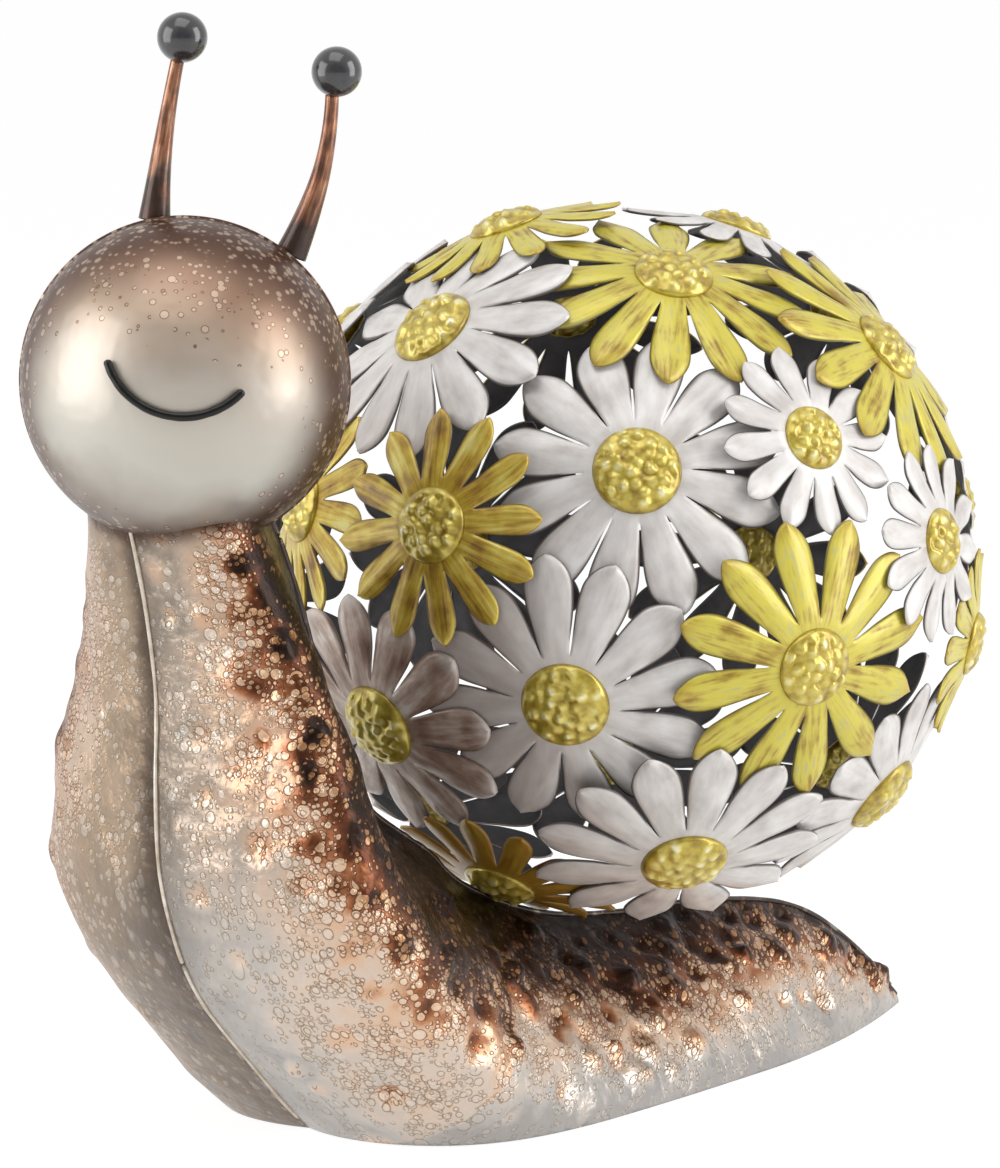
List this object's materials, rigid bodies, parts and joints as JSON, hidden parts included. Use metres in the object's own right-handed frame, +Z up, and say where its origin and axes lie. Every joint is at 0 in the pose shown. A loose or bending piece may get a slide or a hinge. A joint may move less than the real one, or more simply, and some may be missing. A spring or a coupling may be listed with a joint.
{
  "type": "snail figurine",
  "caption": "Sheet-metal snail ornament: hammered body raised at the neck, smiling round head on it with ball-tipped stalks, and a shell ball made of overlapping stamped daisies.",
  "frame": {"origin": "on the floor, straight under the middle of the shell ball", "axes": "+X to the front of the snail, +Y to the snail's left, +Z up"},
  "size_m": [0.3276, 0.1999, 0.3011],
  "materials": {
    "bronze_body_paint": "champagne to dark brown metallic, speckled",
    "dark_sole_paint": "matt dark brown",
    "champagne_head_paint": "semi-gloss pearl metallic, browned at the edges",
    "black_smile_paint": "gloss black",
    "copper_stalk_paint": "brushed copper brown",
    "black_tip_paint": "gloss black",
    "white_petal_paint": "satin pearl white",
    "yellow_petal_paint": "brushed yellow green",
    "ochre_petal_paint": "brushed ochre yellow",
    "brown_petal_paint": "pearl white browned with copper",
    "yellow_centre_paint": "hammered yellow green domes"
  },
  "bodies": {
    "root": {"body_left": "bronze_body_paint", "body_right": "bronze_body_paint", "sole_plate": "dark_sole_paint", "head_front": "champagne_head_paint", "head_back": "champagne_head_paint", "smile_wire": "black_smile_paint", "stalk_left": "copper_stalk_paint", "stalk_right": "copper_stalk_paint", "stalk_tip_left": "black_tip_paint", "stalk_tip_right": "black_tip_paint", "daisy_white_shoulder": "white_petal_paint", "daisy_yellow_crown": "yellow_petal_paint", "daisy_yellow_side_high": "yellow_petal_paint", "daisy_white_middle": "white_petal_paint", "daisy_white_small_high": "white_petal_paint", "daisy_ochre_front": "ochre_petal_paint", "daisy_white_low": "white_petal_paint", "daisy_yellow_side_low": "yellow_petal_paint", "daisy_white_small_side": "white_petal_paint", "daisy_brown_front": "brown_petal_paint", "daisy_yellow_keel": "yellow_petal_paint", "daisy_white_keel": "white_petal_paint", "daisy_white_quarter": "white_petal_paint", "daisy_yellow_quarter": "yellow_petal_paint", "daisy_olive_front": "ochre_petal_paint", "daisy_yellow_top": "yellow_petal_paint", "daisy_white_top": "white_petal_paint", "daisy_white_back_high": "white_petal_paint", "daisy_yellow_far_high": "yellow_petal_paint", "daisy_white_far_shoulder": "white_petal_paint", "daisy_white_back": "white_petal_paint", "daisy_yellow_tail": "yellow_petal_paint", "daisy_white_far": "white_petal_paint", "daisy_yellow_far_low": "yellow_petal_paint", "daisy_white_tail_low": "white_petal_paint", "daisy_white_far_tail": "white_petal_paint", "daisy_brown_far_keel": "brown_petal_paint"}
  },
  "joints": []
}
